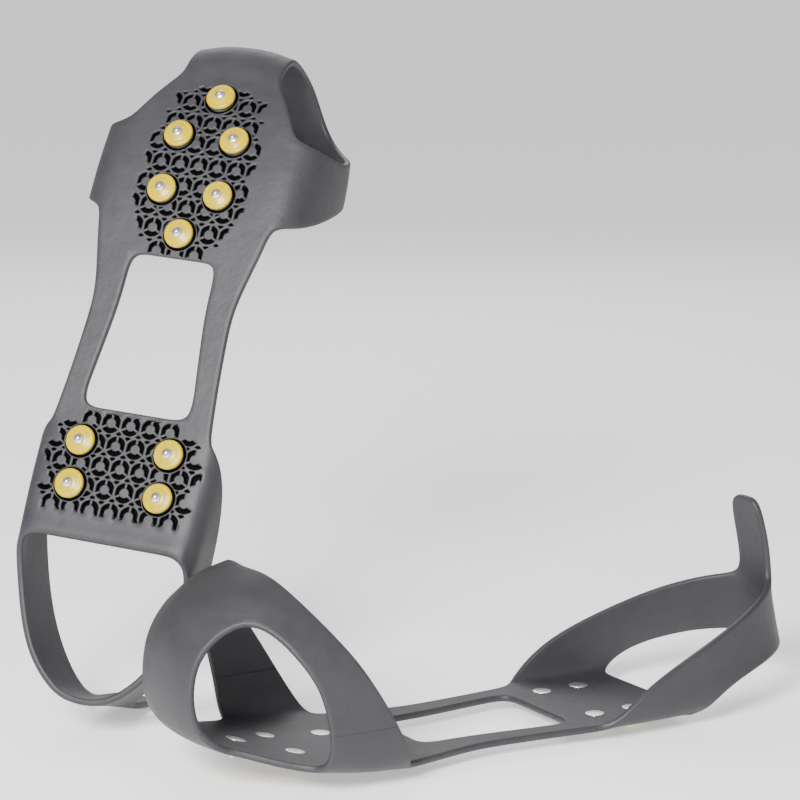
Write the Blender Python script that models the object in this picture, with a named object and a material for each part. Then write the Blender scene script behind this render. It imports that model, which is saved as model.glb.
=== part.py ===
"""A pair of slip-on shoe ice cleats: rubber harnesses with ten collared steel studs each.

One cleat lies flat, toe toward +Y, its studs on the floor at Z = 0. The other stands on its heel strap
beside it. Both keep the shape that they have on a shoe. Lengths are in millimetres until they become
vertices, in metres. Each cleat is drawn in its own frame: X across, Y from heel to toe, and Z = 0 on the
face that the shoe's sole rests on.
"""

import math

import bmesh
import bpy
from mathutils import Euler, Matrix, Vector

MM = 0.001

# Rubber sheet
THICKNESS = 3.0

# The shoe that the rubber wraps round
BALL_Y = 215.0
TOE_SPRING = 0.0026
TOE_CENTRE_Y = 240.0
TOE_HALF_WIDTH = 52.0
TOE_LENGTH = 62.5
TOE_ROUNDNESS = 2.4
WALL_Z = 30.0
DOME_HEIGHT = 50.0
WALL_TUCK = 0.08

# Hinge lines of the rubber
FOLD_Y = 155.0
FOLD_Z = -THICKNESS / 2
FOLD_HALF_GAP = 1.1
STRAP_Y = 106.5
STRAP_Z = 4.0
STRAP_GAP = 0.7

# Studs
COLLAR_RADIUS = 6.6
COLLAR_RIM = 1.3
COLLAR_CROWN = 2.3
COLLAR_BORE = 1.9
STUD_SHANK = 1.4
STUD_TIP = 1.0
STUD_REACH = 8.0
FLANGE_RADIUS = 4.4
FLANGE_THICKNESS = 0.9
FLANGE_SINK = 0.3
FLANGE_RECESS_RADIUS = 4.9
FLANGE_RECESS_DEPTH = 1.5
STUD_HOLE = 1.8
STUD_GAP = 0.5
FOREFOOT_STUDS = ((0.0, 270.5), (13.4, 250.0), (-13.4, 250.0), (13.4, 223.5), (-13.4, 223.5), (0.0, 204.0))
HEEL_STUDS = ((20.8, 106.0), (-20.8, 106.0), (20.8, 86.5), (-20.8, 86.5))

# Where the two cleats are: place of the cleat's own origin, and its turn about X, then Y, then Z
FLAT_PLACE = (-68.88, -157.53, STUD_REACH)
FLAT_TURN = (0.0, 0.0, 0.0)
STANDING_PLACE = (-1.38, 158.47, 27.5)
STANDING_TURN = (115.0, -5.6, 40.5)


# ---------------------------------------------------------------- shape of the shoe


def sole_rise(y):
    """Height of the sole's underside, which lifts ahead of the ball of the foot."""
    return TOE_SPRING * max(0.0, y - BALL_Y) ** 2


def girth(z):
    """Size of the toe box's outline at height z, as a share of its size at the welt."""
    if z < WALL_Z:
        return 1.0 - WALL_TUCK * ((WALL_Z - z) / WALL_Z) ** 2
    return max(0.0, 1.0 - ((z - WALL_Z) / DOME_HEIGHT) ** 3.2) ** (1 / 2.2)


def toe_side(y, z):
    """Half width of the toe box at y and height z."""
    share = girth(z)
    ahead = max(0.0, y - TOE_CENTRE_Y) / (TOE_LENGTH * share)
    return TOE_HALF_WIDTH * share * (1 - ahead**TOE_ROUNDNESS) ** (1 / TOE_ROUNDNESS)


def toe_front(x, z):
    """Y of the toe box's front face at x and height z."""
    share = girth(z)
    across = abs(x) / (TOE_HALF_WIDTH * share)
    return TOE_CENTRE_Y + TOE_LENGTH * share * (1 - across**TOE_ROUNDNESS) ** (1 / TOE_ROUNDNESS)


def toe_top(x, y):
    """Height of the toe box's dome over x, y."""
    across = abs(x) / TOE_HALF_WIDTH
    ahead = max(0.0, y - TOE_CENTRE_Y) / TOE_LENGTH
    share = (across**TOE_ROUNDNESS + ahead**TOE_ROUNDNESS) ** (1 / TOE_ROUNDNESS)
    return WALL_Z + DOME_HEIGHT * (1 - share**2.2) ** (1 / 3.2)


# ---------------------------------------------------------------- the rubber's cages, right halves


def between(a, b, share):
    return tuple(p + (q - p) * share for p, q in zip(a, b))


def spread(inner, outer, shares):
    """Points on the straight line from inner to outer."""
    return [between(inner, outer, share) for share in shares]


def forefoot_cage():
    """Forefoot plate, toe web and front half of a rail."""
    plate_edge = ((194, 36.5), (203, 38.5), (214, 40.5), (234, 42.5), (254, 39.0), (269, 32.0), (282, 22.0))
    columns = (0.0, 0.3, 0.58, 1.0)
    plate = [spread((0, y, sole_rise(y)), (w, y, sole_rise(y)), columns) for y, w in plate_edge]

    leg_lines = (
        (4, 216, 235, 253),
        (13, 221, 237, 253),
        (25, 228, 241, 255),
        (38, 236, 247, 258),
        (51, 245, 255, 265),
    )
    side_leg = [[row[-1] for row in plate[2:5]]]
    for z, *stations in leg_lines:
        heights = [z + sole_rise(y) * (1 - z / DOME_HEIGHT) for y in stations]
        side_leg.append([(toe_side(y, h) - 1.5 * (z < 5), y, h) for y, h in zip(stations, heights)])
    top_row = [(26, 262), (28.5, 269.5), (29.5, 277)]
    side_leg.append([(x, y, toe_top(x, y)) for x, y in top_row])

    front_leg = [plate[-1]]
    for z, half_width, setback in ((13, 22, 10), (20, 21.5, 2), (30, 20.5, 0), (42, 20.5, 0), (55, 22.5, 0)):
        xs = [half_width * share for share in columns]
        front_leg.append([(x, toe_front(x, z) - setback, z) for x in xs])
    rows = (((0, 291), (29.5, 277)), ((0, 279), (28.5, 269.5)), ((0, 266), (26, 262)))
    for start, end in rows:
        front_leg.append([(x, y, toe_top(x, y)) for x, y in spread(start, end, columns)])

    rail = [plate[0][2:]]
    rail += [[(inner, y, 0), (outer, y, 0)] for y, inner, outer in ((179, 21, 33), (168, 21.5, 32))]
    rail.append([(22.5, FOLD_Y + FOLD_HALF_GAP, 0), (32.6, FOLD_Y + FOLD_HALF_GAP, 0)])
    return [plate, side_leg, front_leg, rail]


def heel_cage():
    """Rear half of a rail, heel plate and the turned-up edge that the wing grows from."""
    rows = ((121, 27, 35.5), (113, 26, 36.5), (96, 26, 37.5), (80, 26, 37), (64, 25, 35))
    plate = [[(0, y, 0), (inner / 2, y, 0), (inner, y, 0), (outer, y, 0)] for y, inner, outer in rows]
    rail = [plate[0][2:]]
    rail += [[(25, 138, 0), (33.8, 138, 0)]]
    rail.append([(23.3, FOLD_Y - FOLD_HALF_GAP, 0), (32.8, FOLD_Y - FOLD_HALF_GAP, 0)])
    lip = [[row[-1] for row in plate[1:]], wing_root(0.0)]
    return [plate, rail, lip]


def wing_root(lift):
    """The line where the wing leaves the heel plate's edge, raised by lift."""
    front = (40.5, STRAP_Y - 1.5, STRAP_Z + lift)
    rear = (38.5, 58, STRAP_Z - 1 + lift)
    return spread(front, rear, (0.0, 0.33, 0.67, 1.0))


def strap_cage():
    """Wing, heel band and pull tab."""
    lines = (
        ((40.5, 90, 16), (37.5, 47, 9)),
        ((38.0, 64, 26), (34.0, 32, 13)),
        ((31.5, 35, 36), (27.0, 15, 16)),
        ((19.5, 14, 42), (16.0, 4, 17.5)),
        ((9.0, 4.5, 43.5), (8.5, 0, 18)),
        ((0.0, 3, 44), (0.0, -1, 18)),
    )
    shares = (0.0, 0.33, 0.67, 1.0)
    band = [wing_root(STRAP_GAP)] + [spread(upper, lower, shares) for upper, lower in lines]
    tab = [[band[-1][0], band[-2][0]]]
    tab += [[(0, y, z), (half, y + 0.5, z)] for y, z, half in ((5.0, 56, 9.5), (8.0, 69, 9.5), (11.5, 82, 8.5))]
    return [band, tab]


def sheet_mesh(name, patches, outside):
    """One mesh of all patches' quads, its faces turned so that the one nearest outside faces it."""
    points, index, faces = [], {}, []
    for rows in patches:
        grid = []
        for row in rows:
            for point in row:
                key = tuple(round(value, 3) for value in point)
                if key not in index:
                    index[key] = len(points)
                    points.append(Vector(point) * MM)
            grid.append([index[tuple(round(value, 3) for value in point)] for point in row])
        for lower, upper in zip(grid, grid[1:]):
            faces += [(a, b, c, d) for a, b, c, d in zip(lower, lower[1:], upper[1:], upper)]
    mesh = bpy.data.meshes.new(name)
    mesh.from_pydata(points, [], faces)
    turn_outward(mesh, Vector(outside) * MM)
    return mesh


def turn_outward(mesh, outside):
    """Makes an open sheet's faces agree, with the one nearest to the point outside facing it."""
    shape = bmesh.new()
    shape.from_mesh(mesh)
    bmesh.ops.recalc_face_normals(shape, faces=shape.faces[:])
    nearest = min(shape.faces, key=lambda face: (face.calc_center_median() - outside).length)
    if nearest.normal.dot(outside - nearest.calc_center_median()) < 0:
        bmesh.ops.reverse_faces(shape, faces=shape.faces[:])
    shape.to_mesh(mesh)
    shape.free()


# ---------------------------------------------------------------- objects


def material(name, colour, roughness, metallic=0.0):
    made = bpy.data.materials.new(name)
    made.use_nodes = True
    shader = made.node_tree.nodes["Principled BSDF"]
    shader.inputs["Base Color"].default_value = (*colour, 1.0)
    shader.inputs["Roughness"].default_value = roughness
    shader.inputs["Metallic"].default_value = metallic
    return made


def empty(name, parent, place, turn=(0.0, 0.0, 0.0)):
    made = bpy.data.objects.new(name, None)
    bpy.context.collection.objects.link(made)
    made.parent = parent
    made.location = Vector(place) * MM
    made.rotation_euler = Euler([math.radians(angle) for angle in turn])
    return made


def add(name, mesh, parent, colour, roughness, metallic=0.0):
    """A node on an empty, drawn in the cleat's frame: its place undoes the empties' places."""
    made = bpy.data.objects.new(name, mesh)
    bpy.context.collection.objects.link(made)
    made.parent = parent
    made.location = -Vector(parent["pivot"]) * MM
    if not mesh.materials:
        mesh.materials.append(material(name, colour, roughness, metallic))
    return made


def rubber(name, patches, outside, parent):
    """A rubber segment: a cage mirrored, smoothed and given its thickness on the outer side."""
    made = add(name, sheet_mesh(name, patches, outside), parent, (0.075, 0.075, 0.082), 0.55)
    mirror = made.modifiers.new("both sides", "MIRROR")
    mirror.merge_threshold = 0.00001
    smooth = made.modifiers.new("smooth", "SUBSURF")
    smooth.levels = 1
    smooth.render_levels = 1
    thick = made.modifiers.new("thickness", "SOLIDIFY")
    thick.thickness = THICKNESS * MM
    thick.offset = 1.0
    thick.use_even_offset = True
    return made


def stud_frame(x, y):
    """Matrix of a stud's own frame, with its Z along the sole's normal, in metres."""
    tilt = math.atan(2 * TOE_SPRING * max(0.0, y - BALL_Y))
    place = Matrix.Translation(Vector((x, y, sole_rise(y))) * MM)
    return place @ Matrix.Rotation(tilt, 4, "X")


def turned(name, profile, segments, frame):
    """A closed solid turned about Z from a closed outline of (radius, z) pairs, run up its outer side."""
    on_axis = [i for i, (radius, _) in enumerate(profile) if radius == 0]
    points, rings = [], []
    for radius, z in profile:
        if radius == 0:
            rings.append([len(points)] * segments)
            points.append(Vector((0, 0, z)))
            continue
        rings.append(list(range(len(points), len(points) + segments)))
        for step in range(segments):
            angle = 2 * math.pi * step / segments
            points.append(Vector((radius * math.cos(angle), radius * math.sin(angle), z)))
    pairs = list(zip(rings, rings[1:] + ([] if on_axis else rings[:1])))
    faces = []
    for low, high in pairs:
        for step in range(segments):
            after = (step + 1) % segments
            corners = [low[step], low[after], high[after], high[step]]
            faces.append(list(dict.fromkeys(corners)))
    mesh = bpy.data.meshes.new(name)
    mesh.from_pydata([frame @ (point * MM) for point in points], [], faces)
    mesh.shade_smooth()
    mesh.set_sharp_from_angle(angle=math.radians(35))
    return mesh


def collar_profile():
    base = -THICKNESS - STUD_GAP
    low = base - COLLAR_RIM
    crown = base - COLLAR_CROWN
    return [
        (COLLAR_BORE, crown),
        (COLLAR_RADIUS * 0.62, crown + 0.25),
        (COLLAR_RADIUS, low),
        (COLLAR_RADIUS, base),
        (COLLAR_BORE, base),
    ]


def stud_profile():
    top = -FLANGE_SINK
    seat = top - FLANGE_THICKNESS
    return [
        (0, -STUD_REACH),
        (STUD_TIP, -STUD_REACH + 0.2),
        (STUD_SHANK, -STUD_REACH + 1.5),
        (STUD_SHANK, seat),
        (FLANGE_RADIUS, seat),
        (FLANGE_RADIUS, top - 0.3),
        (FLANGE_RADIUS - 0.4, top),
        (0, top),
    ]


def stud_hole_profile():
    """Outline of the cutter: the shank's hole, and the flange's recess in the face under the foot."""
    return [
        (0, -6.0),
        (STUD_HOLE, -6.0),
        (STUD_HOLE, -FLANGE_RECESS_DEPTH),
        (FLANGE_RECESS_RADIUS, -FLANGE_RECESS_DEPTH),
        (FLANGE_RECESS_RADIUS, 3.0),
        (0, 3.0),
    ]


def cut_stud_holes(made, places, parent):
    """Bores the stud holes with one cutter of separate pegs."""
    cutter_mesh = bpy.data.meshes.new(made.name + "_holes")
    points, faces = [], []
    for x, y in places:
        peg = turned("peg", stud_hole_profile(), 12, stud_frame(x, y))
        start = len(points)
        points += [vertex.co.copy() for vertex in peg.vertices]
        faces += [[start + corner for corner in face.vertices] for face in peg.polygons]
        bpy.data.meshes.remove(peg)
    cutter_mesh.from_pydata(points, [], faces)
    cutter = add(made.name + "_holes", cutter_mesh, parent, (0.5, 0.5, 0.5), 0.5)
    cutter.hide_render = True
    cutter.display_type = "WIRE"
    cut = made.modifiers.new("stud holes", "BOOLEAN")
    cut.object = cutter
    cut.operation = "DIFFERENCE"


def add_studs(prefix, places, parent):
    """A yellow collar and a steel stud at each place."""
    for number, (x, y) in enumerate(places, 1):
        frame = stud_frame(x, y)
        collar = turned(f"{prefix}_collar_{number}", collar_profile(), 12, frame)
        add(collar.name, collar, parent, (0.85, 0.55, 0.02), 0.25)
        stud = turned(f"{prefix}_stud_{number}", stud_profile(), 8, frame)
        add(stud.name, stud, parent, (0.75, 0.75, 0.76), 0.25, 1.0)


def build_cleat(name, place, turn):
    """One cleat: three rubber segments on their hinge lines, with the studs."""
    root = empty(name, None, place, turn)
    root["pivot"] = (0.0, 0.0, 0.0)
    fold = empty(f"{name}_fold_axis", root, (0, FOLD_Y, FOLD_Z))
    fold["pivot"] = (0.0, FOLD_Y, FOLD_Z)
    strap = empty(f"{name}_strap_axis", fold, (0, STRAP_Y - FOLD_Y, STRAP_Z - FOLD_Z))
    strap["pivot"] = (0.0, STRAP_Y, STRAP_Z)

    forefoot = rubber(f"{name}_forefoot_rubber", forefoot_cage(), (0, 230, -50), root)
    cut_stud_holes(forefoot, FOREFOOT_STUDS, root)
    heel = rubber(f"{name}_heel_rubber", heel_cage(), (0, 90, -50), fold)
    cut_stud_holes(heel, HEEL_STUDS, fold)
    rubber(f"{name}_heel_strap", strap_cage(), (0, -60, 30), strap)
    add_studs(f"{name}_forefoot", FOREFOOT_STUDS, root)
    add_studs(f"{name}_heel", HEEL_STUDS, fold)


def main():
    for old in list(bpy.data.objects):
        bpy.data.objects.remove(old, do_unlink=True)
    build_cleat("flat", FLAT_PLACE, FLAT_TURN)
    build_cleat("standing", STANDING_PLACE, STANDING_TURN)


main()
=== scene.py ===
"""Looks of the pair of slip-on ice cleats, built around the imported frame. Lengths are in millimetres until
they become vertices, in metres. A cleat is drawn in its own frame: X across, Y from heel to toe, Z = 0 on the
face that the shoe's sole rests on."""

import math

import bmesh
import bpy
import numpy as np
from mathutils import Euler, Matrix, Vector

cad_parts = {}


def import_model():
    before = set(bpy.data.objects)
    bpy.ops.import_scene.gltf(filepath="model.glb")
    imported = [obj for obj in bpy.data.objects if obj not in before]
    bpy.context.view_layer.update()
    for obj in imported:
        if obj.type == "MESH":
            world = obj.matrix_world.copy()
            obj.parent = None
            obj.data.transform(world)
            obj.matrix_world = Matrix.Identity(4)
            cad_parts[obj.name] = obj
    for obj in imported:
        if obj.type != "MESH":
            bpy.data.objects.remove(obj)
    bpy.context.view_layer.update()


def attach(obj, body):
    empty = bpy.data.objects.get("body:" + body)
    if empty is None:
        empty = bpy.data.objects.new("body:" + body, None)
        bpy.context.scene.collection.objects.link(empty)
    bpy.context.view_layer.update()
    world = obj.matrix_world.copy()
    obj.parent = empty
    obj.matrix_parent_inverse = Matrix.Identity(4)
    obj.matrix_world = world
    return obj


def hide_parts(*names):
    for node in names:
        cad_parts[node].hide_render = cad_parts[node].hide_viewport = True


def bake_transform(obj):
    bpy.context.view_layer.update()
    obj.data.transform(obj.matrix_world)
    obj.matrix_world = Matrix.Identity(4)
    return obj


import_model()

MM = 0.001

THICKNESS = 3.0
RIM_BULGE = 0.9
RIM_STEPS = 6

BALL_Y = 215.0
TOE_SPRING = 0.0026
TOE_CENTRE_Y = 240.0
TOE_HALF_WIDTH = 52.0
TOE_LENGTH = 62.5
TOE_ROUNDNESS = 2.4
WALL_Z = 30.0
DOME_HEIGHT = 50.0
WALL_TUCK = 0.08

COLLAR_RADIUS = 6.6
STUD_REACH = 8.0
FOREFOOT_STUDS = ((0.0, 270.5), (13.4, 250.0), (-13.4, 250.0), (13.4, 223.5), (-13.4, 223.5), (0.0, 204.0))
HEEL_STUDS = ((20.8, 106.0), (-20.8, 106.0), (20.8, 86.5), (-20.8, 86.5))

CLEATS = {
    "flat": ((-68.88, -157.53, STUD_REACH), (0.0, 0.0, 0.0)),
    "standing": ((-1.38, 158.47, 27.5), (115.0, -5.6, 40.5)),
}

# A tread is a superellipse zone (centre y, half width, half length, power) and a lattice of pegs
# (y of one row, pitch across, pitch along).
FOREFOOT_TREAD = ((236.0, 26.0, 42.5, 2.6), (246.7, 8.95, 10.25))
HEEL_TREAD = ((97.0, 34.5, 20.8, 6.0), (106.0, 9.25, 9.75))
TREAD_MARGIN = 1.33
TREAD_CUTS = 6
POCKET_DEPTH = 2.0
PEG_RADIUS = 2.3
RIB_WIDTH = 1.3
CELL_RADIUS = 4.25
SPOKE_WIDTH = 1.25
SPOKE_ANGLES = (90, 210, 330)
POCKET_RADIUS = 3.0
DOT_RISE = 0.624
DOT_STRETCH = 1.4
STUD_CLEARING = (8.0, 8.4)
MOAT_INSIDE = (6.2, 6.6)
MOAT_OUTSIDE = (7.2, 7.7)
MOAT_SHARE = 0.8

HEEL_LIP_Y = 66.0
HEEL_LIP_LENGTH = 3.0
HEEL_LIP_HALF_WIDTH = 38.0
HEEL_LIP_RISE = 0.6

SHARES = (0.0, 0.33, 0.67, 1.0)
SEAM_Z = 20.0
SEAM_SHARPNESS = 2.2
SEAM_FROM_Y = 200.0

CAMERA_PLACE = (-1032.48, 602.27, 337.8)
CAMERA_TARGET = (-55.22, 26.57, 148.0)
CAMERA_LENS = 122.36
FLOOR_HALF_SIZE = 30.0
WORLD_STRENGTH = 0.5

# name: place and aim in metres, size in metres, watts, colour
LIGHTS = {
    "key": ((-0.85, 1.0, 0.8), (0.02, 0.1, 0.2), 0.45, 52.0, (1.0, 0.99, 0.97)),
    "fill": ((-1.4, -0.4, 0.9), (0, 0.05, 0.12), 1.4, 3.0, (0.97, 0.98, 1.0)),
    "back": ((1.2, -0.6, 1.1), (0, 0.05, 0.12), 1.0, 10.0, (1.0, 1.0, 1.0)),
}


# ---------------------------------------------------------------- shape of the shoe inside


def sole_rise(y):
    return TOE_SPRING * max(0.0, y - BALL_Y) ** 2


def girth(z):
    if z < WALL_Z:
        return 1.0 - WALL_TUCK * ((WALL_Z - z) / WALL_Z) ** 2
    return max(0.0, 1.0 - ((z - WALL_Z) / DOME_HEIGHT) ** 3.2) ** (1 / 2.2)


def toe_side(y, z):
    share = girth(z)
    ahead = max(0.0, y - TOE_CENTRE_Y) / (TOE_LENGTH * share)
    return TOE_HALF_WIDTH * share * (1 - ahead**TOE_ROUNDNESS) ** (1 / TOE_ROUNDNESS)


def toe_front(x, z):
    share = girth(z)
    across = abs(x) / (TOE_HALF_WIDTH * share)
    return TOE_CENTRE_Y + TOE_LENGTH * share * (1 - across**TOE_ROUNDNESS) ** (1 / TOE_ROUNDNESS)


def toe_top(x, y):
    across = abs(x) / TOE_HALF_WIDTH
    ahead = max(0.0, y - TOE_CENTRE_Y) / TOE_LENGTH
    share = (across**TOE_ROUNDNESS + ahead**TOE_ROUNDNESS) ** (1 / TOE_ROUNDNESS)
    return WALL_Z + DOME_HEIGHT * (1 - share**2.2) ** (1 / 3.2)


# ---------------------------------------------------------------- rubber sheet


def between(a, b, share):
    return tuple(p + (q - p) * share for p, q in zip(a, b))


def spread(inner, outer, shares):
    return [between(inner, outer, share) for share in shares]


def wing_root():
    return spread((40.5, 105.0, 4.0), (38.5, 58.0, 3.0), SHARES)


def sole_patches():
    """Forefoot plate, toe web, rail and heel plate."""
    plate_edge = ((194, 36.5), (203, 38.5), (214, 40.5), (234, 42.5), (254, 39.0), (269, 32.0), (282, 22.0))
    columns = (0.0, 0.3, 0.58, 1.0)
    plate = [spread((0, y, sole_rise(y)), (w, y, sole_rise(y)), columns) for y, w in plate_edge]

    leg_lines = (
        (4, 216, 235, 253),
        (13, 221, 237, 253),
        (25, 228, 241, 255),
        (38, 236, 247, 258),
        (51, 245, 255, 265),
    )
    side_leg = [[row[-1] for row in plate[2:5]]]
    for z, *stations in leg_lines:
        heights = [z + sole_rise(y) * (1 - z / DOME_HEIGHT) for y in stations]
        side_leg.append([(toe_side(y, h) - 1.5 * (z < 5), y, h) for y, h in zip(stations, heights)])
    side_leg.append([(x, y, toe_top(x, y)) for x, y in ((26, 262), (28.5, 269.5), (29.5, 277))])

    front_leg = [plate[-1]]
    for z, half_width, setback in ((13, 22, 10), (20, 21.5, 2), (30, 20.5, 0), (42, 20.5, 0), (55, 22.5, 0)):
        xs = [half_width * share for share in columns]
        front_leg.append([(x, toe_front(x, z) - setback, z) for x in xs])
    for start, end in (((0, 291), (29.5, 277)), ((0, 279), (28.5, 269.5)), ((0, 266), (26, 262))):
        front_leg.append([(x, y, toe_top(x, y)) for x, y in spread(start, end, columns)])

    rail_rows = ((179, 21, 33), (168, 21.5, 32), (155, 22.9, 32.7), (138, 25, 33.8))
    heel_rows = ((121, 27, 35.5), (113, 26, 36.5), (96, 26, 37.5), (80, 26, 37), (64, 25, 35))
    heel = [[(0, y, 0), (inner / 2, y, 0), (inner, y, 0), (outer, y, 0)] for y, inner, outer in heel_rows]
    rail = [plate[0][2:]] + [[(inner, y, 0), (outer, y, 0)] for y, inner, outer in rail_rows] + [heel[0][2:]]
    return [plate, side_leg, front_leg, rail, heel], heel


def strap_patches(heel):
    """Turned-up edge, wing, heel band and pull tab."""
    lines = (
        ((40.5, 90, 16), (37.5, 47, 9)),
        ((38.0, 64, 26), (34.0, 32, 13)),
        ((31.5, 35, 36), (27.0, 15, 16)),
        ((19.5, 14, 42), (16.0, 4, 17.5)),
        ((9.0, 4.5, 43.5), (8.5, 0, 18)),
        ((0.0, 3, 44), (0.0, -1, 18)),
    )
    lip = [[row[-1] for row in heel[1:]], wing_root()]
    band = [wing_root()] + [spread(upper, lower, SHARES) for upper, lower in lines]
    tab = [[band[-1][0], band[-2][0]]]
    for y, z, half_width in ((5.0, 56, 9.5), (8.0, 69, 9.5), (11.5, 82, 8.5)):
        tab.append([(0, y, z), (half_width, y + 0.5, z)])
    return [lip, band, tab]


def smooth_sheet():
    """The whole harness as one smoothed sheet: points, faces and each face's part (0 sole, 1 strap)."""
    sole, heel = sole_patches()
    points, index, faces, parts = [], {}, [], []
    for part, patches in enumerate((sole, strap_patches(heel))):
        for rows in patches:
            grid = []
            for row in rows:
                keys = [tuple(round(value, 3) for value in point) for point in row]
                for key in keys:
                    if key not in index:
                        index[key] = len(points)
                        points.append(key)
                grid.append([index[key] for key in keys])
            for lower, upper in zip(grid, grid[1:]):
                quads = list(zip(lower, lower[1:], upper[1:], upper))
                faces += quads
                parts += [part] * len(quads)
    mesh = bpy.data.meshes.new("sheet")
    mesh.from_pydata(points, [], faces)
    mesh.materials.append(None)
    mesh.materials.append(None)
    mesh.polygons.foreach_set("material_index", parts)
    shape = bmesh.new()
    shape.from_mesh(mesh)
    bmesh.ops.recalc_face_normals(shape, faces=shape.faces[:])
    under = min(shape.faces, key=lambda face: (face.calc_center_median() - Vector((0, 230, -50))).length)
    if under.normal.z > 0:
        bmesh.ops.reverse_faces(shape, faces=shape.faces[:])
    shape.to_mesh(mesh)
    shape.free()
    sheet = bpy.data.objects.new("sheet", mesh)
    bpy.context.collection.objects.link(sheet)
    mirror = sheet.modifiers.new("both sides", "MIRROR")
    mirror.merge_threshold = 0.01
    smooth = sheet.modifiers.new("smooth", "SUBSURF")
    smooth.levels = 3
    smooth.render_levels = 3
    done = bpy.data.meshes.new_from_object(sheet.evaluated_get(bpy.context.evaluated_depsgraph_get()))
    bpy.data.objects.remove(sheet)
    return done


def zone_share(x, y, zone):
    """Under 1 inside a tread zone, 1 on its edge."""
    centre, half_width, half_length, power = zone
    return (abs(x) / half_width) ** power + (abs(y - centre) / half_length) ** power


def refine_tread(mesh):
    """Cuts the flat faces of the two tread zones small enough for pegs and ribs."""
    shape = bmesh.new()
    shape.from_mesh(mesh)
    chosen = set()
    for face in shape.faces:
        middle = face.calc_center_median()
        if middle.z < 12 and face.normal.z < -0.8:
            for zone, _ in (FOREFOOT_TREAD, HEEL_TREAD):
                if zone_share(middle.x, middle.y, zone) < TREAD_MARGIN:
                    chosen.update(face.edges)
    bmesh.ops.subdivide_edges(shape, edges=list(chosen), cuts=TREAD_CUTS, use_grid_fill=True)
    shape.to_mesh(mesh)
    shape.free()


def ramp(low, high, value):
    """A smooth rise from 0 at low to 1 at high."""
    share = np.clip((value - low) / (high - low), 0, 1)
    return share * share * (3 - 2 * share)


def nearest_peg(x, y, lattice):
    """Place of the peg nearest to each point, and how much nearer it is than the next peg."""
    row_y, pitch_x, pitch_y = lattice
    row = np.round((y - row_y) / pitch_y)
    near, second = np.full(x.shape, 1e9), np.full(x.shape, 1e9)
    peg_x, peg_y = np.zeros(x.shape), np.zeros(x.shape)
    for row_step in (-1, 0, 1):
        line = row + row_step
        offset = np.where(np.mod(line, 2) == 0, 0.5, 0.0)
        column = np.round(x / pitch_x - offset)
        for column_step in (-1, 0, 1):
            px = (column + column_step + offset) * pitch_x
            py = row_y + line * pitch_y
            # rows count as if they stood at a regular lattice's spacing
            far = np.hypot(x - px, (y - py) * pitch_x * 0.866 / pitch_y)
            closer = far < near
            second = np.where(closer, near, np.minimum(second, far))
            peg_x, peg_y = np.where(closer, px, peg_x), np.where(closer, py, peg_y)
            near = np.minimum(near, far)
    return peg_x, peg_y, second - near


def pocket_depths(x, y, tread, studs):
    """Depth of the tread's pockets at points x, y: a ring round each peg, cut by three spokes, and a dot
    on either side of it between the rows."""
    zone, lattice = tread
    peg_x, peg_y, margin = nearest_peg(x, y, lattice)
    across, along = x - peg_x, y - peg_y
    away = np.hypot(across, along)
    peg = 1 - ramp(PEG_RADIUS - 0.2, PEG_RADIUS + 0.2, away)
    rib = 1 - ramp(RIB_WIDTH - 0.35, RIB_WIDTH + 0.35, margin)
    rib = np.maximum(rib, ramp(CELL_RADIUS - 0.2, CELL_RADIUS + 0.2, away))
    spoke = np.zeros(x.shape)
    for angle in SPOKE_ANGLES:
        ux, uy = math.cos(math.radians(angle)), math.sin(math.radians(angle))
        offset = np.abs(across * uy - along * ux)
        bar = 1 - ramp(SPOKE_WIDTH / 2 - 0.15, SPOKE_WIDTH / 2 + 0.25, offset)
        spoke = np.maximum(spoke, np.where(across * ux + along * uy > 0, bar, 0))
    depth = 1 - np.maximum(np.maximum(peg, rib), 0.9 * spoke)
    dot_rise = DOT_RISE * lattice[2]
    dot = 1 - ramp(0.85, 1.2, np.hypot(across / DOT_STRETCH, np.abs(along) - dot_rise))
    depth = np.maximum(depth, dot)

    # a pocket is pressed whole or not at all, so the zone's edge is ragged
    turn = np.degrees(np.arctan2(along, across)) % 360
    heading = np.where((turn >= 90) & (turn < 210), 150, 30)
    heading = np.radians(np.where((turn >= 210) & (turn < 330), 270, heading))
    pocket_x = np.where(dot > 0, peg_x, peg_x + POCKET_RADIUS * np.cos(heading))
    pocket_y = np.where(dot > 0, peg_y + np.sign(along) * dot_rise, peg_y + POCKET_RADIUS * np.sin(heading))
    depth = np.where(zone_share(pocket_x, pocket_y, zone) < 1, depth, 0)
    for stud_x, stud_y in studs:
        far = np.hypot(x - stud_x, y - stud_y)
        moat = ramp(*MOAT_INSIDE, far) * (1 - ramp(*MOAT_OUTSIDE, far))
        depth = np.maximum(depth * ramp(*STUD_CLEARING, far), moat * MOAT_SHARE)
    return depth * POCKET_DEPTH


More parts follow.
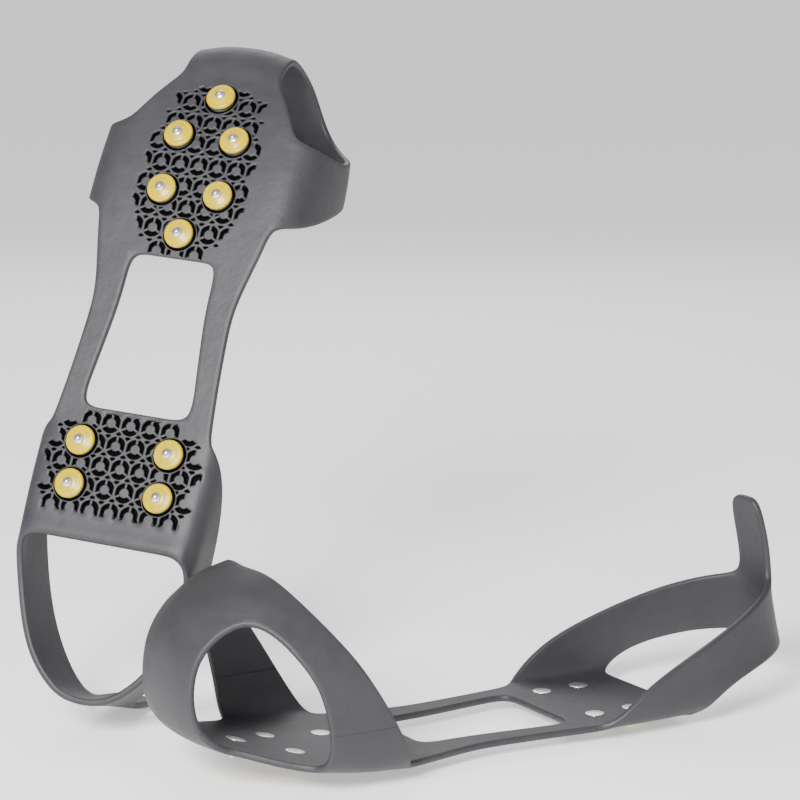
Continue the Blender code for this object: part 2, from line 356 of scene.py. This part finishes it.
def thick_rubber(mesh):
    """Points, faces, parts of the sheet given its thickness, rounded rims and pressed tread."""
    count = len(mesh.vertices)
    inner = np.empty(count * 3)
    mesh.vertices.foreach_get("co", inner)
    inner = inner.reshape(-1, 3)
    normals = np.empty(count * 3)
    mesh.vertex_normals.foreach_get("vector", normals)
    normals = normals.reshape(-1, 3)
    low = (inner[:, 2] < 13) & (normals[:, 2] < -0.8)
    depth = np.zeros(count)
    for tread, studs in ((FOREFOOT_TREAD, FOREFOOT_STUDS), (HEEL_TREAD, HEEL_STUDS)):
        depth = np.maximum(depth, pocket_depths(inner[:, 0], inner[:, 1], tread, studs))
    depth = np.where(low, depth, 0)
    # the heel plate's rear edge is a thicker lip
    lip = np.exp(-((inner[:, 1] - HEEL_LIP_Y) / HEEL_LIP_LENGTH) ** 2) * (1 - ramp(8, 20, inner[:, 2]))
    lip *= np.abs(inner[:, 0]) < HEEL_LIP_HALF_WIDTH
    outer = inner + normals * (THICKNESS - depth + HEEL_LIP_RISE * lip * low)[:, None]

    faces = [tuple(face.vertices) for face in mesh.polygons]
    parts = [face.material_index for face in mesh.polygons]
    owners = {}
    for number, face in enumerate(faces):
        for a, b in zip(face, face[1:] + face[:1]):
            owners.setdefault((min(a, b), max(a, b)), []).append((a, b, number))
    border = [held[0] for held in owners.values() if len(held) == 1]
    outward = {}
    for a, b, _ in border:
        side = np.cross(inner[b] - inner[a], normals[a] + normals[b])
        side /= np.linalg.norm(side) + 1e-12
        for corner in (a, b):
            outward[corner] = outward.get(corner, np.zeros(3)) + side
    rings = {}
    extra = []
    for corner, side in outward.items():
        side = side / (np.linalg.norm(side) + 1e-12)
        ring = [corner]
        for step in range(1, RIM_STEPS):
            turn = math.pi * step / RIM_STEPS
            rise = THICKNESS * (1 - math.cos(turn)) / 2
            ring.append(2 * count + len(extra))
            extra.append(inner[corner] + normals[corner] * rise + side * RIM_BULGE * math.sin(turn))
        ring.append(corner + count)
        rings[corner] = ring
    points = np.vstack([inner, outer, np.array(extra)])
    pressed = np.concatenate([np.zeros(count), depth / POCKET_DEPTH, np.zeros(len(extra))])
    solid = [tuple(reversed(face)) for face in faces]
    solid += [tuple(corner + count for corner in face) for face in faces]
    owner = parts + parts
    for a, b, number in border:
        for step in range(RIM_STEPS):
            solid.append((rings[a][step], rings[b][step], rings[b][step + 1], rings[a][step + 1]))
            owner.append(parts[number])
    return points, solid, np.array(owner), pressed


def mesh_of(name, points, faces, matrix):
    """A mesh in the row frame, with the cleat's own coordinates, in millimetres, kept for its material."""
    local = np.asarray(points)
    turn = np.array(matrix.to_3x3())
    place = np.array(matrix.translation)
    mesh = bpy.data.meshes.new(name)
    mesh.from_pydata((local * MM) @ turn.T + place, [], faces)
    kept = mesh.attributes.new("cleat", "FLOAT_VECTOR", "POINT")
    kept.data.foreach_set("vector", local.astype(np.float32).ravel())
    mesh.shade_smooth()
    return mesh


def rubber_pieces(name, body, matrix):
    """The harness's sole and strap as two meshes that meet on one edge, shaded as one skin."""
    points, faces, owner, pressed = body
    whole = mesh_of(name, points, faces, matrix)
    normals = np.empty(len(points) * 3, dtype=np.float32)
    whole.vertex_normals.foreach_get("vector", normals)
    normals = normals.reshape(-1, 3)
    pieces = []
    for part, label in enumerate(("harness", "heel_strap")):
        chosen = [face for face, held in zip(faces, owner) if held == part]
        used = np.unique(np.array([corner for face in chosen for corner in face]))
        renumber = {old: new for new, old in enumerate(used.tolist())}
        chosen = [tuple(renumber[corner] for corner in face) for face in chosen]
        mesh = mesh_of(f"{name}_{label}", points[used], chosen, matrix)
        mesh.normals_split_custom_set_from_vertices(normals[used].tolist())
        # pocket depth, read by the rubber material to paint shade into the pockets
        pocket = mesh.attributes.new("pocket", "FLOAT", "POINT")
        pocket.data.foreach_set("value", pressed[used].astype(np.float32))
        piece = bpy.data.objects.new(f"{name}_{label}", mesh)
        bpy.context.collection.objects.link(piece)
        pieces.append(piece)
    bpy.data.meshes.remove(whole)
    return pieces


# ---------------------------------------------------------------- studs


def stud_frame(x, y):
    tilt = math.atan(2 * TOE_SPRING * max(0.0, y - BALL_Y))
    return Matrix.Translation(Vector((x, y, sole_rise(y)))) @ Matrix.Rotation(tilt, 4, "X")


def turned(name, profile, segments, closed):
    """A body turned about Z from (radius, z) pairs; a closed outline makes a ring."""
    points, rings = [], []
    for radius, z in profile:
        if radius == 0:
            rings.append([len(points)] * segments)
            points.append((0, 0, z))
            continue
        rings.append(list(range(len(points), len(points) + segments)))
        for step in range(segments):
            angle = 2 * math.pi * step / segments
            points.append((radius * math.cos(angle), radius * math.sin(angle), z))
    faces = []
    for low, high in zip(rings, rings[1:] + (rings[:1] if closed else [])):
        for step in range(segments):
            after = (step + 1) % segments
            faces.append(tuple(dict.fromkeys((low[step], low[after], high[after], high[step]))))
    return points, faces


def collar_shape():
    base, face = -3.4, -6.1
    outline = [(1.55, face + 0.2), (1.75, face + 0.02), (2.2, face), (3.0, face + 0.16), (3.9, face + 0.44)]
    outline += [(4.7, face + 0.74), (5.1, face + 0.84), (5.4, face + 0.8), (5.8, face + 0.86)]
    outline += [(6.2, face + 1.06), (6.48, face + 1.36), (COLLAR_RADIUS, face + 1.75)]
    outline += [(6.55, base - 0.25), (6.35, base), (1.55, base)]
    return turned("collar", outline, 56, True)


def stud_shape():
    tip = -STUD_REACH
    outline = [(0, tip), (0.45, tip + 0.02), (0.8, tip + 0.12), (0.98, tip + 0.34), (1.04, tip + 0.7)]
    outline += [(1.12, tip + 0.95), (1.75, tip + 1.2), (2.2, tip + 1.45), (2.3, tip + 1.65)]
    outline += [(2.25, tip + 1.85)]
    outline += [(1.35, tip + 2.0), (1.35, -0.3), (1.6, -0.1), (4.1, 0.0), (4.35, 0.08), (4.4, 0.2)]
    outline += [(4.2, 0.34), (3.4, 0.42), (0, 0.5)]
    return turned("stud", outline, 40, False)


# ---------------------------------------------------------------- materials


class Nodes:
    """Short ways to add and join shader nodes."""

    def __init__(self, name):
        self.material = bpy.data.materials.new(name)
        self.material.use_nodes = True
        self.tree = self.material.node_tree
        self.shader = self.tree.nodes["Principled BSDF"]

    def add(self, kind, **settings):
        node = self.tree.nodes.new(kind)
        for key, value in settings.items():
            if key in node.inputs:
                node.inputs[key].default_value = value
            else:
                setattr(node, key, value)
        return node

    def link(self, source, target):
        self.tree.links.new(source, target)

    def place(self):
        return self.add("ShaderNodeAttribute", attribute_name="cleat").outputs["Vector"]

    def noise(self, place, scale, detail=4.0, roughness=0.55):
        node = self.add("ShaderNodeTexNoise")
        node.inputs["Scale"].default_value = scale
        node.inputs["Detail"].default_value = detail
        node.inputs["Roughness"].default_value = roughness
        self.link(place, node.inputs["Vector"])
        return node.outputs["Fac"]

    def ramp(self, value, *stops):
        node = self.add("ShaderNodeValToRGB")
        elements = node.color_ramp.elements
        while len(elements) < len(stops):
            elements.new(0.5)
        for element, (at, colour) in zip(elements, stops):
            element.position = at
            rgb = colour if isinstance(colour, tuple) else (colour,) * 3
            element.color = (*rgb, 1.0)
        self.link(value, node.inputs["Fac"])
        return node.outputs["Color"]

    def mix(self, share, a, b):
        node = self.add("ShaderNodeMix", data_type="RGBA")
        for value, socket in ((share, node.inputs[0]), (a, node.inputs[6]), (b, node.inputs[7])):
            if isinstance(value, bpy.types.NodeSocket):
                self.link(value, socket)
            elif isinstance(value, tuple):
                socket.default_value = (*value, 1.0)
            else:
                socket.default_value = value
        return node.outputs[2]

    def maths(self, operation, a, b=0.0, c=0.0):
        node = self.add("ShaderNodeMath", operation=operation)
        for value, socket in zip((a, b, c), node.inputs):
            if isinstance(value, bpy.types.NodeSocket):
                self.link(value, socket)
            else:
                socket.default_value = value
        return node.outputs[0]

    def bump(self, height, strength, distance, normal=None):
        node = self.add("ShaderNodeBump")
        node.inputs["Strength"].default_value = strength
        node.inputs["Distance"].default_value = distance
        self.link(height, node.inputs["Height"])
        if normal:
            self.link(normal, node.inputs["Normal"])
        return node.outputs["Normal"]


def rubber_material():
    made = Nodes("moulded_grey_rubber")
    place = made.place()
    broad = made.noise(place, 0.02, 3.0)
    blotch = made.noise(place, 0.12, 5.0, 0.6)
    grain = made.noise(place, 3.2, 3.0, 0.6)
    dust = made.noise(place, 0.9, 6.0, 0.7)
    base = made.ramp(broad, (0.3, (0.021, 0.021, 0.025)), (0.7, (0.029, 0.029, 0.034)))
    base = made.mix(made.ramp(blotch, (0.35, 0.0), (0.75, 0.35)), base, (0.04, 0.04, 0.046))
    base = made.mix(made.ramp(dust, (0.62, 0.0), (0.8, 0.2)), base, (0.085, 0.085, 0.09))
    # lighter on sharp rims: partly edge wear, partly a painted highlight along the rims
    edge = made.add("ShaderNodeNewGeometry").outputs["Pointiness"]
    base = made.mix(made.ramp(edge, (0.56, 0.0), (0.68, 0.25)), base, (0.09, 0.09, 0.098))
    # painted shade: the pressed pockets and stud moats are painted near black, as the shade that falls in
    # them
    pocket = made.add("ShaderNodeAttribute", attribute_name="pocket").outputs["Fac"]
    base = made.mix(made.ramp(pocket, (0.1, 0.0), (0.5, 1.0)), base, (0.001, 0.001, 0.001))
    made.link(base, made.shader.inputs["Base Color"])
    rough = made.maths("MULTIPLY_ADD", blotch, 0.16, 0.4)
    rough = made.maths("MULTIPLY_ADD", dust, 0.1, rough)
    made.link(rough, made.shader.inputs["Roughness"])
    apart = made.add("ShaderNodeSeparateXYZ")
    made.link(place, apart.inputs[0])
    seam = made.maths("ABSOLUTE", made.maths("SUBTRACT", apart.outputs["Z"], SEAM_Z))
    seam = made.maths("MINIMUM", made.maths("MULTIPLY", seam, SEAM_SHARPNESS), 1.0)
    seam = made.maths("SUBTRACT", 1.0, seam)
    toe_only = made.maths("GREATER_THAN", apart.outputs["Y"], SEAM_FROM_Y)
    seam = made.maths("MULTIPLY", seam, toe_only)
    normal = made.bump(grain, 0.25, 0.0002)
    normal = made.bump(blotch, 0.3, 0.0012, normal)
    normal = made.bump(seam, 0.5, 0.0005, normal)
    made.link(normal, made.shader.inputs["Normal"])
    # the pockets' specular is turned down too, so their painted shade is not lit by reflections
    shine = made.ramp(pocket, (0.1, 0.45), (0.5, 0.02))
    made.link(shine, made.shader.inputs["Specular IOR Level"])
    return made.material


def collar_material():
    made = Nodes("glossy_yellow_plastic")
    place = made.place()
    tint = made.noise(place, 0.35, 3.0)
    scuff = made.noise(place, 2.4, 6.0, 0.7)
    base = made.ramp(tint, (0.3, (0.42, 0.3, 0.0)), (0.7, (0.5, 0.365, 0.0)))
    base = made.mix(made.ramp(scuff, (0.62, 0.0), (0.85, 0.2)), base, (0.6, 0.46, 0.01))
    made.link(base, made.shader.inputs["Base Color"])
    made.link(made.maths("MULTIPLY_ADD", scuff, 0.25, 0.16), made.shader.inputs["Roughness"])
    normal = made.bump(scuff, 0.12, 0.0002)
    made.link(made.bump(tint, 0.25, 0.0006, normal), made.shader.inputs["Normal"])
    made.shader.inputs["Specular IOR Level"].default_value = 0.35
    made.shader.inputs["Coat Weight"].default_value = 0.1
    made.shader.inputs["Coat Roughness"].default_value = 0.12
    made.shader.inputs["Subsurface Weight"].default_value = 0.08
    made.shader.inputs["Subsurface Radius"].default_value = (0.002, 0.0012, 0.0003)
    return made.material


def steel_material():
    made = Nodes("worn_bright_steel")
    place = made.place()
    grain = made.noise(place, 4.0, 5.0, 0.7)
    stain = made.noise(place, 0.8, 4.0)
    base = made.ramp(stain, (0.3, (0.62, 0.61, 0.6)), (0.7, (0.8, 0.79, 0.78)))
    made.link(base, made.shader.inputs["Base Color"])
    made.shader.inputs["Metallic"].default_value = 1.0
    made.link(made.maths("MULTIPLY_ADD", grain, 0.3, 0.18), made.shader.inputs["Roughness"])
    made.link(made.bump(grain, 0.2, 0.0001), made.shader.inputs["Normal"])
    return made.material


def floor_material():
    made = Nodes("pale_floor")
    made.shader.inputs["Base Color"].default_value = (0.9, 0.9, 0.9, 1.0)
    made.shader.inputs["Roughness"].default_value = 0.7
    made.shader.inputs["Emission Color"].default_value = (1.0, 1.0, 1.0, 1.0)
    made.shader.inputs["Emission Strength"].default_value = 0.55
    return made.material


# ---------------------------------------------------------------- the pair


def build_cleat(name, place, turn, body, looks):
    matrix = Matrix.Translation(Vector(place) * MM)
    matrix = matrix @ Euler([math.radians(angle) for angle in turn]).to_matrix().to_4x4()

    def world(point):
        return matrix @ (Vector(point) * MM)

    harness, strap = rubber_pieces(name, body, matrix)
    for piece in (harness, strap):
        piece.data.materials.append(looks["rubber"])
    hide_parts(f"{name}_forefoot_rubber", f"{name}_heel_rubber")
    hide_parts(f"{name}_heel_strap")
    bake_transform(harness)
    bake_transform(strap)

    for zone, places in (("forefoot", FOREFOOT_STUDS), ("heel", HEEL_STUDS)):
        for number, (x, y) in enumerate(places, 1):
            seat = stud_frame(x, y)
            for kind, shape, look, slot in (
                ("collar", collar_shape(), "collar", "collar_plastic"),
                ("stud", stud_shape(), "steel", "stud_steel"),
            ):
                points = [tuple(seat @ Vector(point)) for point in shape[0]]
                label = f"{name}_{zone}_{kind}_{number}"
                piece = bpy.data.objects.new(f"{label}_fine", mesh_of(label, points, shape[1], matrix))
                bpy.context.collection.objects.link(piece)
                piece.data.materials.append(looks[look])
                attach(piece, f"{name}_{zone}")
                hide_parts(label)


def add_light(name, place, aim, size, power, colour):
    data = bpy.data.lights.new(name, "AREA")
    data.energy = power
    data.size = size
    data.color = colour
    lamp = bpy.data.objects.new(name, data)
    bpy.context.collection.objects.link(lamp)
    lamp.location = place
    lamp.rotation_euler = (Vector(aim) - Vector(place)).to_track_quat("-Z", "Y").to_euler()


def build_stage():
    camera_data = bpy.data.cameras.new("camera")
    camera_data.lens = CAMERA_LENS
    camera_data.sensor_width = 36.0
    camera_data.clip_end = 200.0
    camera = bpy.data.objects.new("camera", camera_data)
    bpy.context.collection.objects.link(camera)
    camera.location = Vector(CAMERA_PLACE) * MM
    target = Vector(CAMERA_TARGET) * MM
    camera.rotation_euler = (target - camera.location).to_track_quat("-Z", "Y").to_euler()
    bpy.context.scene.camera = camera

    half = FLOOR_HALF_SIZE
    floor_mesh = bpy.data.meshes.new("floor")
    corners = [(-half, -half, 0), (half, -half, 0), (half, half, 0), (-half, half, 0)]
    floor_mesh.from_pydata(corners, [], [(0, 1, 2, 3)])
    floor_mesh.materials.append(floor_material())
    floor = bpy.data.objects.new("floor", floor_mesh)
    bpy.context.collection.objects.link(floor)

    for name, settings in LIGHTS.items():
        add_light(name, *settings)
    world = bpy.data.worlds.new("studio")
    world.use_nodes = True
    background = world.node_tree.nodes["Background"]
    background.inputs["Color"].default_value = (1.0, 1.0, 1.0, 1.0)
    background.inputs["Strength"].default_value = WORLD_STRENGTH
    bpy.context.scene.world = world


def main():
    looks = {"rubber": rubber_material(), "collar": collar_material(), "steel": steel_material()}
    sheet = smooth_sheet()
    refine_tread(sheet)
    body = thick_rubber(sheet)
    for name, (place, turn) in CLEATS.items():
        build_cleat(name, place, turn, body, looks)
    build_stage()


main()
